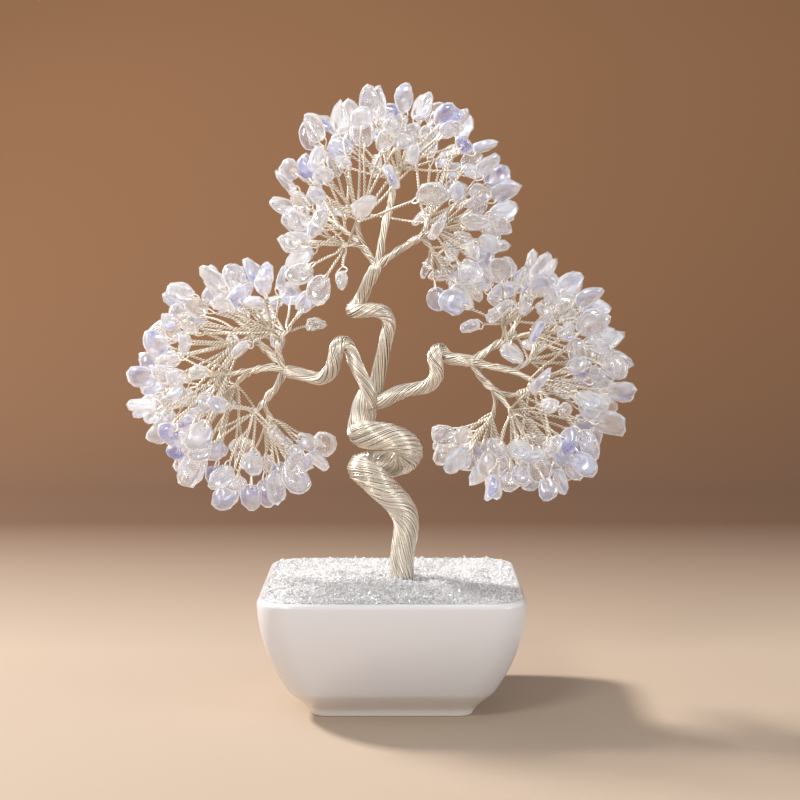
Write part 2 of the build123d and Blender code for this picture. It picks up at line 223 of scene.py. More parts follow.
def round_stations(half, corner, height, radius, start, end):
    """Quarter or half round on an edge, between two angles from the outward direction: the radius
    times the cosine goes out and times the sine goes up."""
    angle = np.radians(np.linspace(start, end, 7))
    out, up = radius * np.cos(angle), radius * np.sin(angle)
    return half + out, corner + out, height + up


def cove_stations(start, start_way, end, end_way):
    """Soft cove from the foot up into the wall: the cubic that leaves the start in its way and
    reaches the end in its way. Each of the four is a half width, a corner radius and a height."""
    part = np.linspace(0, 1, 18)[:-1, None]
    curve = start + part**2 * (3 - 2 * part) * (end - start)
    curve += part * (1 - part) ** 2 * start_way - part**2 * (1 - part) * end_way
    return tuple(curve.T)


lip_level = 1 - wall / 2 / bowl_height
outer = wall_stations(np.linspace(cove_level, lip_level, 24))
cove_end = np.array([stations[0] for stations in outer])
cove_way = np.array([stations[1] - stations[0] for stations in outer])
cove_way *= (cove_end[2] - foot_height) / cove_way[2]
inner = wall_stations(np.linspace(lip_level, cavity_level, 14))
foot_half, ring_half = foot_side / 2, foot_side / 2 - foot_ring
rim_half, rim_corner = outer[0][-1], outer[1][-1]
recess_half, recess_corner = ring_half - foot_round, foot_corner - foot_round
cove_start = np.array([foot_half, foot_corner, foot_height * cove_height_share])
cove_start[:2] += foot_flare * cove_flare_share
cove_start_way = np.array([0.5, 0.5, 1.0]) * foot_height * cove_pull
stations = [
    (np.array([0, recess_half]), np.array([0, recess_corner]), np.full(2, foot_recess)),
    (np.array([ring_half]), np.array([foot_corner]), np.array([foot_recess - foot_round])),
    round_stations(
        ring_half + foot_round, foot_corner + foot_round, foot_round, foot_round, 180, 270
    ),
    round_stations(foot_half - foot_round, recess_corner, foot_round, foot_round, -90, 0),
    cove_stations(cove_start, cove_start_way, cove_end, cove_way),
    outer,
    round_stations(rim_half - wall / 2, rim_corner - wall / 2, outer[2][-1], wall / 2, 10, 170),
    (inner[0] - wall, inner[1] - wall, inner[2]),
    (np.zeros(1), np.zeros(1), np.array([foot_height + floor_thickness])),
]
half, corner, height = (np.concatenate(column) for column in zip(*stations))
x, y = rounded_square(half, corner)
z = np.broadcast_to(height[:, None], x.shape)
glaze, where = start_material("satin_glaze")
up = where.axis("Z")
cloud = where.noise(14)
# Painted reflection of the floor: the glaze lighter and warmer round the foot and the cove
painted_floor_glow = (1 - up.ramp(foot_height, floor_glow_height)) * 0.9 + cloud * 0.1
bare = 1 - up.ramp(bare_height, glazed_height)
orange_peel = where.noise(260, 3.0) + where.noise(60) * 0.6
where.surface(
    Base_Color=bare.blend(painted_floor_glow.blend(glaze_white, floor_glow_glaze), bare_clay),
    Roughness=0.24 + cloud * 0.10 + bare * 0.4,
    Coat_Weight=0.5 - bare * 0.5,
    Coat_Roughness=0.12,
    Normal=orange_peel.bump(0.06, 0.3 * mm),
)
skin = np.stack([x, y, z], -1).reshape(-1, 3)
quads = grid_quads(*x.shape)
merge_doubles(add_piece("glazed_bowl", skin, quads, None, glaze, "glaze", ["bowl"]))

# Plaster core: cast round the foot of the trunk inside the bowl. It is hidden under the gravel, and
# stays the CAD solid, in matt off-white plaster.
plaster, where = start_material("cast_plaster")
grain = where.noise(400, 4.0)
where.surface(
    Base_Color=grain.blend((0.78, 0.75, 0.70, 1), (0.88, 0.86, 0.82, 1)),
    Roughness=0.85 + grain * 0.1,
    Normal=grain.bump(0.3, 0.2 * mm),
)
dress("plaster_core", plaster)

# Gravel: crushed clear crystal, one or two millimetres across, glued in a slightly mounded layer
# level with the rim. Grains lie close together on the CAD bed, each an angular broken lump.
grain_size, grain_pitch, grain_stray = 1.6 * mm, 1.04 * mm, 0.9 * mm
grains_over_lip, grains_under_rim = 1.6 * mm, 0.3 * mm
glued_body, loose_body = 1.0, 0.62


def crushed_crystal(name, body):
    """White heap of crystal: each grain has its own tint and fine flaws, and lets past the light
    that its body doesn't hold back."""
    material, where = start_material(name)
    tint = where.node("ShaderNodeAttribute", {"attribute_name": "tint"}, output="Fac")
    flaw = where.noise(700, 3.0)
    where.surface(
        Base_Color=(tint * 0.8 + flaw * 0.2).blend((0.98, 0.965, 0.985, 1), (1.0, 1.0, 1.0, 1)),
        Roughness=0.05 + flaw * 0.2,
        Alpha=body,
        Subsurface_Weight=1.0,
        Subsurface_Radius=(1.0, 0.98, 1.0),
        Subsurface_Scale=9 * mm,
        Coat_Weight=0.8,
        Coat_Roughness=0.02,
        IOR=1.54,
        Normal=flaw.bump(0.3, 0.15 * mm),
    )
    return material


bed = dress("gravel_bed", crushed_crystal("glued_crystal", glued_body))
dice = np.random.default_rng(11)
# A lump starts as an icosahedron, the hull of three crossed golden rectangles
golden = (1 + 5**0.5) / 2
lump = np.array([(-1, golden, 0), (1, golden, 0), (-1, -golden, 0), (1, -golden, 0)])
lump = np.concatenate([lump, np.roll(lump, 1, 1), np.roll(lump, 2, 1)]) / math.hypot(1, golden)
lump_mesh = bpy.data.meshes.new("lump")
work = bmesh.new()
for corner_place in lump:
    work.verts.new(corner_place)
bmesh.ops.convex_hull(work, input=work.verts)
work.to_mesh(lump_mesh)
work.free()
lump = np.array([tuple(vertex.co) for vertex in lump_mesh.vertices])
lump_faces = np.array([tuple(face.vertices) for face in lump_mesh.polygons])
cavity_half, cavity_corner = (size - wall + grains_over_lip for size in (rim_half, rim_corner))
steps = np.arange(-cavity_half, cavity_half, grain_pitch)
x, y = (values.ravel() for values in np.meshgrid(steps, steps))
x = x + dice.uniform(-0.6, 0.6, x.size) * grain_pitch
y = y + dice.uniform(-0.6, 0.6, y.size) * grain_pitch
sizes = grain_size / 2 * dice.uniform(0.55, 1.15, x.size)
# Most of each grain lies inside the cavity's rounded square
inside = sizes * 0.6
past_corner = np.hypot(*np.maximum(np.abs([x, y]) - (cavity_half - cavity_corner), 0)) + inside
kept = (np.maximum(np.abs(x), np.abs(y)) < cavity_half - inside) & (past_corner < cavity_corner)
x, y, sizes = x[kept], y[kept], sizes[kept]


def height_on(mesh, x, y):
    """Height of a mesh's surface over each point: a point in a triangle is a weighted mean of its
    corners, and the highest triangle counts."""
    mesh.calc_loop_triangles()
    corners = np.zeros(len(mesh.loop_triangles) * 3, int)
    mesh.loop_triangles.foreach_get("vertices", corners)
    places = np.zeros(len(mesh.vertices) * 3)
    mesh.vertices.foreach_get("co", places)
    a, b, c = np.swapaxes(places.reshape(-1, 3)[corners.reshape(-1, 3)], 0, 1)
    area = (b[:, 0] - a[:, 0]) * (c[:, 1] - a[:, 1]) - (b[:, 1] - a[:, 1]) * (c[:, 0] - a[:, 0])
    flat = area > 1e-9
    a, b, c, area = a[flat], b[flat], c[flat], area[flat]
    x, y = x[:, None], y[:, None]
    of_a = ((b[:, 0] - x) * (c[:, 1] - y) - (b[:, 1] - y) * (c[:, 0] - x)) / area
    of_b = ((c[:, 0] - x) * (a[:, 1] - y) - (c[:, 1] - y) * (a[:, 0] - x)) / area
    of_c = 1 - of_a - of_b
    inside = np.minimum(np.minimum(of_a, of_b), of_c) > -1e-6
    return np.where(inside, of_a * a[:, 2] + of_b * b[:, 2] + of_c * c[:, 2], 0).max(1)


z = np.maximum(height_on(bed.data, x, y), bowl_height - grains_under_rim)
z += dice.uniform(-0.1, 0.45, x.size) * sizes
# One grain in ten lies loose on top of the others
z += np.maximum(dice.uniform(-9, 1, x.size), 0) * grain_stray
turns = np.linalg.qr(dice.normal(size=(x.size, 3, 3)))[0]
broken = lump * dice.uniform(0.72, 1.2, (x.size, len(lump), 1))
broken = broken * dice.uniform(0.6, 1.25, (x.size, 1, 3))
grains = np.einsum("nij,nkj->nki", turns, broken) * sizes[:, None, None]
grains = grains + np.stack([x, y, z], -1)[:, None]
faces = lump_faces + np.arange(x.size)[:, None, None] * len(lump)
flipped = np.linalg.det(turns) < 0
faces[flipped] = faces[flipped][:, :, ::-1]
add_piece(
    "crystal_grains",
    grains.reshape(-1, 3),
    faces.reshape(-1, 3),
    np.repeat(dice.uniform(0, 1, x.size), len(lump)),
    crushed_crystal("loose_crystal", loose_body),
    "crystal_gravel",
    smooth=False,
)

# Trunk: all the soft wires of the tree, twisted left-handed into one bundle and bent by hand into
# an S with one loop. The wire is bright, with a warm champagne cast, and lies in one layer.
tree_rise, trunk_width, wire = 193 * mm, 10.4 * mm, 0.5 * mm
# How deep the trunk reaches below the rim, its step, and the painted shade of each bundle's core
trunk_foot_depth, trunk_step, trunk_core_painted_shade = 25 * mm, 1.1 * mm, -0.4
# Share of a bundle's round that its wires fill, the lengths of the waves that they lie in sideways
# and in or out, how far these go, and how bright the painted shade in the gaps between wires is
filled_share, slow_wave, quick_wave, ripple_wave = 0.86, 9 * mm, 3.7 * mm, 5.3 * mm
sideways_share, proud_share, bundle_painted_gap = 0.9, 0.45, 0.12
# One wire in so many strays over the others, and stands proud by this share of its thickness
one_stray_in, stray_proud = 7, 0.1
# The dark wire colour is real tarnish and also the painted shade of the gaps and cores
tarnish_and_shade_wire, bright_wire = (0.17, 0.105, 0.055, 1), (1.0, 0.925, 0.80, 1)
rim = np.array([0, 0, bowl_height])
# Across and up are shares of the rise, depth and width are shares of the trunk's width, and the
# last is the lay angle in degrees
trunk_route = [
    (0.020, 0.00, 0.020, 0.90, 20),
    (0.023, 0.00, 0.065, 0.88, 22),
    (0.029, 0.00, 0.115, 0.95, 27),
    (0.016, -0.15, 0.155, 1.00, 35),
    (-0.014, -0.45, 0.188, 1.04, 40),
    (-0.043, -0.54, 0.216, 1.02, 44),
    (-0.064, -0.05, 0.232, 1.00, 44),
    (-0.045, 0.50, 0.235, 1.00, 36),
    (-0.010, 0.58, 0.236, 1.00, 32),
    (0.020, 0.46, 0.243, 1.00, 32),
    (0.036, 0.00, 0.263, 0.98, 36),
    (0.020, -0.50, 0.288, 1.00, 40),
    (-0.014, -0.66, 0.300, 1.02, 40),
    (-0.045, -0.56, 0.301, 1.02, 36),
    (-0.064, -0.08, 0.308, 1.00, 26),
    (-0.060, 0.06, 0.335, 0.98, 18),
    (-0.055, 0.02, 0.362, 0.92, 16),
    (-0.047, 0.00, 0.388, 0.72, 16),
]
silver, where = start_material("champagne_silver_wire")
# The tint is each wire's own tone times the painted shade in its gaps, or the cores' painted shade
tint = where.node("ShaderNodeAttribute", {"attribute_name": "tint"}, output="Fac")
tarnish = where.noise(160, 3.0)
draw_marks = where.noise(1500)
where.surface(
    Base_Color=(tint + tarnish * 0.25).blend(tarnish_and_shade_wire, bright_wire),
    Metallic=0.7,
    Roughness=0.2 + tarnish * 0.12 + draw_marks * 0.08,
    Normal=draw_marks.bump(0.12, 0.05 * mm),
)


def smooth_route(points, spacing):
    """Natural cubic spline through the points: its slope and bend run on through each, and the bend
    ends at nothing. Columns after the third go in straight lines between points. Even steps along
    it."""
    points = np.asarray(points, float)
    runs = np.linalg.norm(np.diff(points[:, :3], axis=0), axis=1)
    knots = np.concatenate([[0], np.cumsum(runs)])
    slopes = np.diff(points[:, :3], axis=0) / runs[:, None]
    middle = np.arange(1, len(points) - 1)
    matrix, right = np.eye(len(points)), np.zeros((len(points), 3))
    matrix[middle, middle - 1], matrix[middle, middle + 1] = runs[:-1], runs[1:]
    matrix[middle, middle] = 2 * (runs[:-1] + runs[1:])
    right[middle] = 6 * np.diff(slopes, axis=0)
    bends = np.linalg.solve(matrix, right)
    fine = np.linspace(0, knots[-1], 30 * len(points))
    run = np.clip(np.searchsorted(knots, fine, side="right") - 1, 0, len(runs) - 1)
    part, whole = (fine - knots[run])[:, None], runs[run][:, None]
    curve = points[run, :3] + part * (slopes[run] - whole * (2 * bends[run] + bends[run + 1]) / 6)
    curve += part**2 * bends[run] / 2 + part**3 * (bends[run + 1] - bends[run]) / (6 * whole)
    reach = np.concatenate([[0], np.cumsum(np.linalg.norm(np.diff(curve, axis=0), axis=1))])
    even = np.linspace(0, reach[-1], max(3, round(reach[-1] / spacing) + 1))
    straight = [np.interp(fine, knots, column) for column in points[:, 3:].T]
    return np.stack([np.interp(even, reach, column) for column in [*curve.T, *straight]], -1)


def unit(vectors):
    """Each vector over its own length."""
    return vectors / np.linalg.norm(vectors, axis=-1, keepdims=True)


def carried_frame(centres):
    """Two directions square to a route at each station, which turn with it no more than they must:
    the first is the one before, less its part along the new heading."""
    headings = unit(np.gradient(centres, axis=0))
    across = [np.array([0.0, 1.0, 0.0])]
    for heading in headings:
        across.append(unit(across[-1] - heading * (across[-1] @ heading)))
    across = np.array(across[1:])
    return across, np.cross(headings, across)


def tubes(paths, outward, radius, sides):
    """Round wires along paths, one row each: a circle of the radius in the plane square to the
    path, counted from the outward direction. Flat quads close both ends."""
    ahead = unit(np.gradient(paths, axis=1))
    beside = unit(np.cross(ahead, outward))
    above = np.cross(beside, ahead)
    angle = 2 * np.pi * np.arange(sides)[:, None] / sides
    radius = np.broadcast_to(radius, paths.shape[:2])[:, :, None, None]
    rings = above[:, :, None] * np.cos(angle) + beside[:, :, None] * np.sin(angle)
    rings = paths[:, :, None] + rings * radius
    count, steps = paths.shape[:2]
    cap = np.array([(0, 2 * k - 1, 2 * k, 2 * k + 1) for k in range(1, sides // 2)])
    quads = np.concatenate([grid_quads(steps, sides), cap[:, ::-1], cap + (steps - 1) * sides])
    quads = quads + np.arange(count)[:, None, None] * steps * sides
    return rings.reshape(-1, 3), quads.reshape(-1, 4)


def joined(parts):
    """One list of vertices, one of faces and one of tints per vertex, from several of each."""
    vertices, quads, tints = zip(*parts)
    shifts = np.cumsum([0] + [len(places) for places in vertices])
    faces = np.concatenate([corners + shift for corners, shift in zip(quads, shifts)])
    return np.concatenate(vertices), faces, np.concatenate(tints)


def tinted(surface, tints):
    """The same mesh with one tint for each of its pieces."""
    vertices, quads = surface
    return vertices, quads, np.repeat(tints, len(vertices) // len(tints))


def shade_gaps(surface, tints, sides, gap_shade_level=bundle_painted_gap):
    """The same wires, bright where they face out and in painted shade in the gaps between them:
    each wire's tint times a mix of the gap's painted shade and one, by the cosine of the angle from
    outward."""
    vertices, quads, tints = tinted(surface, tints)
    facing = np.maximum(np.cos(2 * np.pi * np.arange(sides) / sides), 0)
    shade_by_facing = gap_shade_level + (1 - gap_shade_level) * facing
    return vertices, quads, tints * np.tile(shade_by_facing, len(vertices) // sides)


def wire_bundle(route, dice, gauge=wire, loose=1.0):
    """Layer of wires round a route of centre, width and lay angle. Wire number i of n lies at the
    angle 2 pi i / n plus the twist, which is the sum of tan(lay) over the radius. Sines push each
    wire a little sideways and in or out. A dark core in painted shade fills the middle, and a few
    wires stray over the others."""
    centres, widths, lays = route[:, :3], route[:, 3], route[:, 4]
    across, beside = carried_frame(centres)
    step = np.linalg.norm(np.diff(centres, axis=0), axis=1).mean()
    count = max(4, int(np.pi * (widths.max() - gauge) / gauge * filled_share))
    twist = -np.cumsum(np.tan(np.radians(lays)) / (widths / 2)) * step
    along = np.arange(len(centres)) * step
    wave = np.sin(along / slow_wave + dice.uniform(0, 7, (count, 1)))
    wave += np.sin(along / quick_wave + dice.uniform(0, 7, (count, 1)))
    ripple = np.sin(along / ripple_wave + dice.uniform(0, 7, (count, 1)))
    angles = 2 * np.pi * np.arange(count)[:, None] / count + twist
    angles = angles + wave * loose * sideways_share / count
    proud = dice.uniform(-0.5, 0.5, (count, 1)) + ripple * 0.5
    radii = widths / 2 - gauge * (0.5 - proud * proud_share * loose)
    outward = across * np.cos(angles)[..., None] + beside * np.sin(angles)[..., None]
    paths = centres + outward * radii[..., None]
    layer = shade_gaps(tubes(paths, outward, gauge / 2, 6), dice.uniform(0.5, 1.05, count), 6)
    # Painted shade: a dark core fills the middle and shows in the gaps between wires
    core_radius = np.maximum(widths / 2 - gauge, gauge / 4)
    core = tubes(centres[None], across[None], core_radius[None], 12)
    strays = max(1, count // one_stray_in)
    angles = dice.uniform(0, 2 * np.pi, (strays, 1)) + twist * dice.uniform(0.5, 1.5, (strays, 1))
    outward = across * np.cos(angles)[..., None] + beside * np.sin(angles)[..., None]
    paths = centres + outward * (widths / 2 + gauge * stray_proud)[:, None]
    stray = shade_gaps(tubes(paths, outward, gauge / 2, 6), dice.uniform(0.8, 1.05, strays), 6)
    return [layer, tinted(core, np.full(1, trunk_core_painted_shade)), stray]


def route_places(shares, width):
    """Centres, widths and lays of a route from its table of shares."""
    across, depth, up, size, lay = np.array(shares).T
    places = rim + np.stack([across * tree_rise, depth * width, up * tree_rise], -1)
    return np.concatenate([places, (size * width)[:, None], lay[:, None]], -1)


dice = np.random.default_rng(3)
trunk_places = route_places(trunk_route, trunk_width)
trunk_foot = trunk_places[:1] - [0, 0, trunk_foot_depth, 0, 0]
trunk = wire_bundle(smooth_route(np.concatenate([trunk_foot, trunk_places]), trunk_step), dice)
add_piece("trunk_wires", *joined(trunk), silver, "silver_wire", ["trunk"])

# Limbs: the trunk's wires divided in three bundles, each bent again, then divided into branches and
# thin stems by untwisting the wires and twisting fewer of them together.
limb_width, branch_width, stem_width, stem_tip_width = 5.6 * mm, 3.3 * mm, 2.3 * mm, 1.3 * mm
limb_step, branch_step, stem_step = 0.9 * mm, 0.8 * mm, 0.7 * mm
# Branches and stems: thickness of their strands, how loosely these lie, and their lay in degrees
branch_gauge, branch_loose, stem_gauge, stem_loose, fine_lay = 0.8 * mm, 0.6, 0.65 * mm, 0.5, 24
limb_end_share, check_step = 0.6, 2 * mm
top_limb_route = [
    (-0.043, 0.30, 0.360, 0.90, 14),
    (-0.036, 0.40, 0.385, 0.96, 14),
    (-0.028, 0.40, 0.420, 0.92, 14),
    (-0.019, 0.20, 0.462, 0.92, 16),
    (-0.009, 0.00, 0.505, 0.92, 24),
    (-0.006, -0.10, 0.530, 0.94, 34),
    (-0.017, -0.35, 0.548, 0.96, 38),
    (-0.042, -0.58, 0.554, 0.96, 38),
    (-0.066, -0.56, 0.552, 0.96, 38),
    (-0.081, 0.00, 0.555, 0.92, 34),
    (-0.070, 0.52, 0.567, 0.88, 24),
    (-0.056, 0.35, 0.594, 0.84, 20),
    (-0.033, 0.00, 0.638, 0.84, 20),
]
left_limb_route = [
    (-0.040, -0.30, 0.355, 0.90, 16),
    (-0.047, -0.45, 0.385, 0.96, 16),
    (-0.060, -0.30, 0.415, 0.92, 18),
    (-0.077, 0.10, 0.449, 0.92, 24),
    (-0.087, 0.50, 0.474, 0.95, 34),
    (-0.100, 0.30, 0.488, 1.00, 38),
    (-0.112, -0.20, 0.478, 1.00, 34),
    (-0.116, -0.30, 0.455, 1.00, 28),
    (-0.124, -0.20, 0.430, 1.00, 28),
    (-0.144, 0.00, 0.415, 0.96, 28),
    (-0.168, 0.00, 0.418, 0.88, 26),
    (-0.191, 0.00, 0.425, 0.84, 24),
    (-0.214, 0.00, 0.430, 0.84, 24),
]
right_limb_route = [
    (-0.042, 0.00, 0.362, 0.90, 16),
    (-0.026, -0.10, 0.366, 0.96, 16),
    (0.006, -0.10, 0.383, 0.98, 22),
    (0.038, 0.00, 0.392, 0.92, 26),
    (0.066, -0.10, 0.396, 0.92, 32),
    (0.085, -0.30, 0.410, 0.96, 34),
    (0.090, -0.40, 0.437, 1.00, 34),
    (0.086, -0.25, 0.462, 1.00, 38),
    (0.096, 0.35, 0.472, 0.94, 30),
    (0.112, 0.40, 0.458, 0.90, 22),
    (0.133, 0.15, 0.453, 0.86, 20),
    (0.155, 0.00, 0.451, 0.86, 20),
]
# For each branch its own points after the limb's end, then the tips of its stems
left_branches = [
    ([(-0.228, -0.005, 0.459), (-0.230, -0.006, 0.488)],
     [(-0.250, -0.034, 0.520), (-0.206, 0.024, 0.514)]),
    ([(-0.244, 0.012, 0.459), (-0.272, 0.018, 0.486)],
     [(-0.296, 0.046, 0.508), (-0.326, 0.000, 0.480)]),
    ([(-0.244, -0.010, 0.437), (-0.277, -0.014, 0.433)],
     [(-0.344, -0.040, 0.424), (-0.330, 0.028, 0.388)]),
    ([(-0.234, 0.005, 0.400), (-0.257, 0.006, 0.369)],
     [(-0.284, -0.034, 0.344), (-0.242, 0.026, 0.320)]),
]
right_branches = [
    ([(0.191, 0.010, 0.469), (0.224, 0.015, 0.488)],
     [(0.220, -0.030, 0.540), (0.265, 0.046, 0.542), (0.297, -0.018, 0.512)]),
    ([(0.195, -0.010, 0.441), (0.236, -0.015, 0.432)],
     [(0.290, 0.034, 0.458), (0.298, -0.040, 0.408)]),
    ([(0.179, 0.010, 0.420), (0.208, 0.012, 0.390)],
     [(0.275, 0.036, 0.378), (0.250, -0.030, 0.340), (0.200, 0.022, 0.318)]),
]
top_branches = [
    ([(-0.043, 0.005, 0.659), (-0.057, 0.008, 0.679)],
     [(-0.104, -0.030, 0.682), (-0.112, 0.034, 0.726), (-0.071, -0.024, 0.749)]),
    ([(-0.022, 0.000, 0.687), (-0.008, 0.005, 0.745), (0.000, 0.010, 0.790)],
     [(-0.014, 0.042, 0.832), (0.022, -0.026, 0.850)]),
    ([(0.004, -0.005, 0.667), (0.055, -0.010, 0.700)],
     [(0.073, 0.034, 0.742), (0.106, -0.034, 0.716), (0.086, 0.016, 0.662)]),
]


def limb_wires(route, branches, dice):
    """Bundles of one limb, its branches and stems, the limb's bends, the points that all pass, and
    each stem's tip and heading. The limb runs on past its last point to a narrow end among its
    branches. A stem leaves its branch in the branch's own way and turns half way to its tip."""
    places = route_places(route, limb_width)
    ending = places[-1:].copy()
    ending[:, :3] += unit(places[-1:, :3] - places[-2:-1, :3]) * limb_end_share * limb_width
    ending[:, 3] = stem_tip_width
    bundles = wire_bundle(smooth_route(np.concatenate([places, ending]), limb_step), dice)
    tips, passed = [], [places[:, :3]]
    for branch_shares, stem_shares in branches:
        branch = np.concatenate([places[-2:, :3], rim + np.array(branch_shares) * tree_rise])
        widths = np.linspace(branch_width, stem_width, len(branch))
        lays = np.full(len(branch), fine_lay)
        branch_places = np.concatenate([branch, widths[:, None], lays[:, None]], -1)
        branch_route = smooth_route(branch_places, branch_step)
        bundles += wire_bundle(branch_route, dice, branch_gauge, branch_loose)
        passed.append(smooth_route(branch, check_step))
        fork, way = branch[-1], unit(branch[-1] - branch[-2])
        for shares in stem_shares:
            tip = rim + np.array(shares) * tree_rise
            elbow = (fork + tip + way * stem_width) / 2
            stem = np.array([
                (*(fork - way * 2 * stem_width), stem_width, fine_lay),
                (*fork, stem_width, fine_lay),
                (*elbow, (stem_width + stem_tip_width) / 2, fine_lay),
                (*tip, stem_tip_width, fine_lay),
            ])
            bundles += wire_bundle(smooth_route(stem, stem_step), dice, stem_gauge, stem_loose)
            passed.append(smooth_route(stem[:, :3], check_step))
            tips.append((tip, unit(tip - elbow)))
    return bundles, places[:, :3], np.concatenate(passed), tips


crowns = []
for side, route, branches in [
    ("left", left_limb_route, left_branches),
    ("top", top_limb_route, top_branches),
    ("right", right_limb_route, right_branches),
]:
    bundles, bent, passed, tips = limb_wires(route, branches, dice)
    add_piece(f"{side}_limb_wires", *joined(bundles), silver, "silver_wire", [f"{side}_limb"])
    crowns.append((side, bent, passed, tips))

# Twigs: each is one thin wire folded double through the hole of its chip and twisted on itself down
# to the stem, where both its ends run on in the bundle. The fold leaves an open eye round the chip.
eye_length, eye_half, twist_pitch, twig_gauge = 4.2 * mm, 2.1 * mm, 2.9 * mm, 0.62 * mm
# How far the twig runs back in its stem, how far it lies along it, and where it has left it
root_depth, root_end, clear_of_stem = 4 * mm, 1.2 * mm, 1.6 * mm
# Each twig wire's offset from the pair's middle, the painted shade between them, and the most bow
strand_offset, twig_painted_gap, most_bow = twig_gauge * 0.47, 0.35, 0.02
twist_stations, eye_widening, eye_pinch = 8, 1.3, 1.2


def islands(node):
    """Vertices of each separate solid of a CAD node: corners at one place are one, and each
    triangle passes the lowest number among its corners on until none changes."""
    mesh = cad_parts[node].data
    places = np.zeros(len(mesh.vertices) * 3)
    mesh.vertices.foreach_get("co", places)
    corners = np.zeros(len(mesh.loops), int)
    mesh.loops.foreach_get("vertex_index", corners)
    places, same = np.unique(places.reshape(-1, 3).round(7), axis=0, return_inverse=True)
    triangles = same.ravel()[corners].reshape(-1, 3)
    labels, before = np.arange(len(places)), None
    while not np.array_equal(labels, before):
        before = labels.copy()
        np.minimum.at(labels, triangles, labels[triangles].min(1)[:, None])
        labels = labels[labels]
    return [places[labels == label] for label in np.unique(labels)]


def twig_line(corners, tip):
    """Foot, hole centre, outward direction and hole direction of a CAD twig. Its two corners next
    to the stem are its foot, and the four farthest from these are the bar through the hole."""
    foot = corners[np.argsort(np.linalg.norm(corners - tip, axis=1))[:2]].mean(0)
    bar = corners[np.argsort(np.linalg.norm(corners - foot, axis=1))[-4:]]
    middle = bar.mean(0)
    hole_way = np.linalg.svd(bar - middle)[2][0]
    outward = unit(middle - foot)
    hole_way = unit(hole_way - outward * (hole_way @ outward))
    return foot, middle - outward * wire / 2, outward, hole_way


def twisted_twig(foot, hole, outward, hole_way, tip, heading, dice):
    """Two wires that turn about one line from inside the stem to the eye, and the eye itself: a
    drop whose height goes with half of 1 + cos b, and whose half width with sin b times a power of
    sin b/2."""
    on_stem = tip - heading * ((tip - foot) @ heading)
    neck = hole - outward * eye_length
    bow = np.cross(outward, dice.normal(size=3)) * dice.uniform(0, most_bow)
    bow = bow * np.linalg.norm(neck - foot)
    rooted = [on_stem - heading * root_depth, on_stem - heading * root_end]
    points = [*rooted, foot + outward * clear_of_stem, (foot + neck) / 2 + bow, neck]
    centres = smooth_route(points, twist_pitch / twist_stations)
    across, beside = carried_frame(centres)
    step = np.linalg.norm(np.diff(centres, axis=0), axis=1).mean()
    left = (len(centres) - 1 - np.arange(len(centres))) * step
    last = math.atan2(hole_way @ beside[-1], hole_way @ across[-1])
    angles = last + 2 * np.pi * left / twist_pitch + np.array([[0], [np.pi]])
    away = across * np.cos(angles)[..., None] + beside * np.sin(angles)[..., None]
    pair = tubes(centres + away * strand_offset, away, twig_gauge / 2, 4)
    b = np.linspace(0, 2 * np.pi, 26)[:, None]
    width = eye_half * eye_widening * np.sin(b) * np.sin(b / 2) ** eye_pinch
    width += strand_offset * np.cos(b / 2)
    drop = hole + hole_way * width - outward * eye_length * (1 + np.cos(b)) / 2
    plane_way = np.broadcast_to(np.cross(hole_way, outward), drop.shape)
    eye = tubes(drop[None], plane_way[None], twig_gauge / 2, 4)
    shade = dice.uniform(0.85, 1.05)
    # The pair is in painted shade where its two wires face each other
    return [shade_gaps(pair, np.full(2, shade), 4, twig_painted_gap), tinted(eye, np.full(1, shade))]


twigs_of = {}
for side, _, _, tips in crowns:
    for number, (tip, heading) in enumerate(tips, 1):
        spray = f"{side}_spray_{number}"
        lines = [twig_line(corners, tip) for corners in islands(f"{spray}_wires")]
        parts = [part for line in lines for part in twisted_twig(*line, tip, heading, dice)]
        add_piece(f"{spray}_twigs", *joined(parts), silver, "silver_wire", [f"{spray}_wires"])
        twigs_of[spray] = lines

# Chips: tumbled chips of milky glass that scatters blue and lets warm light through, each drilled
# across its thin side and held by the wire's eye. Some are nearly clear and a few strongly violet.
around_steps, hole_radius = 14, 0.62 * mm
# How much fuller than the CAD chip along the hole, outward and sideways
chip_fullness = np.array([1.0, 1.08, 1.2])
# How sharp the outline's corners are, how uneven the faces are, how much one side is thinner than
# the other, and how much two opposite sides are
sharpness, unevenness, wedge_share, saddle_share = 3.4, 0.13, 0.3, 0.12
# Share of the light that passes a chip to what lies in its shadow, and how strong the painted
# white highlight on the rims is
light_passed, rim_highlight_share = 0.7, 0.75
glass_odds = {"milky": 0.40, "violet": 0.17, "clear": 0.43}


